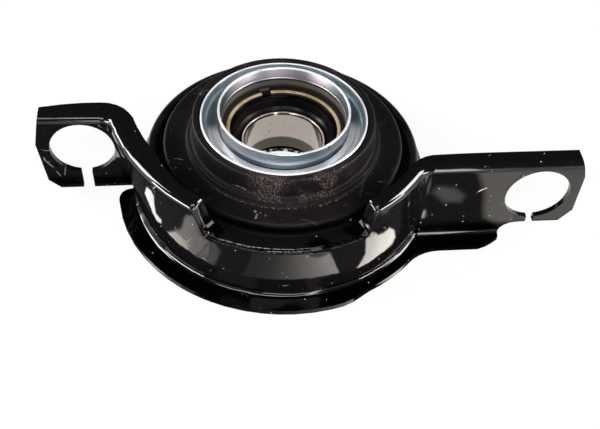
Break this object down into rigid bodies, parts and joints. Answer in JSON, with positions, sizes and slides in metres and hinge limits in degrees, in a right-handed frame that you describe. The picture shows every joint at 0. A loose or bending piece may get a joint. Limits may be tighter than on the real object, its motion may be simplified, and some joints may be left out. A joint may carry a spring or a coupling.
{
  "type": "driveshaft centre bearing",
  "caption": "Ball bearing in a rubber isolator, held by a pressed-steel bracket with slotted eyes; it carries the middle of a two-piece driveshaft.",
  "frame": {"origin": "middle of the part's footprint, on the plane that the bracket's lip and the shell's rear edge lie in", "axes": "+Z along the shaft axis from the rear of the part to its front, +X along the bracket towards its longer arm, -Y towards the bracket's low front web"},
  "size_m": [0.2374, 0.141, 0.0473],
  "materials": {
    "black_paint": "gloss black paint",
    "shell_paint": "satin black paint",
    "rubber": "matt moulded rubber",
    "seal_rubber": "satin rubber",
    "zinc": "bright zinc plate",
    "yellow_steel": "yellow passivated steel",
    "polished_steel": "ground and polished steel",
    "race_steel": "ground steel",
    "cage_steel": "pressed steel"
  },
  "bodies": {
    "housing": {"bracket": "black_paint", "outer_ring": "shell_paint", "rubber_isolator": "rubber", "bearing_sleeve": "zinc", "front_dust_shield": "zinc", "rear_dust_shield": "zinc", "snap_ring": "yellow_steel", "outer_race": "race_steel", "front_seal": "seal_rubber", "rear_seal": "seal_rubber"},
    "inner_race": {"inner_race": "polished_steel"},
    "cage": {"ball_cage": "cage_steel", "ball_01": "polished_steel", "ball_02": "polished_steel", "ball_03": "polished_steel", "ball_04": "polished_steel", "ball_05": "polished_steel", "ball_06": "polished_steel", "ball_07": "polished_steel", "ball_08": "polished_steel", "ball_09": "polished_steel", "ball_10": "polished_steel", "ball_11": "polished_steel", "ball_12": "polished_steel", "ball_13": "polished_steel", "ball_14": "polished_steel"}
  },
  "joints": [
    {"name": "shaft_turn", "type": "hinge", "parent": "housing", "child": "inner_race", "pos_m": [-0.009, 0.00565, 0.0222], "axis": [0, 0, 1], "continuous": true},
    {"name": "cage_turn", "type": "hinge", "parent": "housing", "child": "cage", "pos_m": [-0.009, 0.00565, 0.0222], "axis": [0, 0, 1], "continuous": true}
  ],
  "couplings": [
    {"joint": "cage_turn", "follows": "shaft_turn", "ratio": 0.4294}
  ]
}
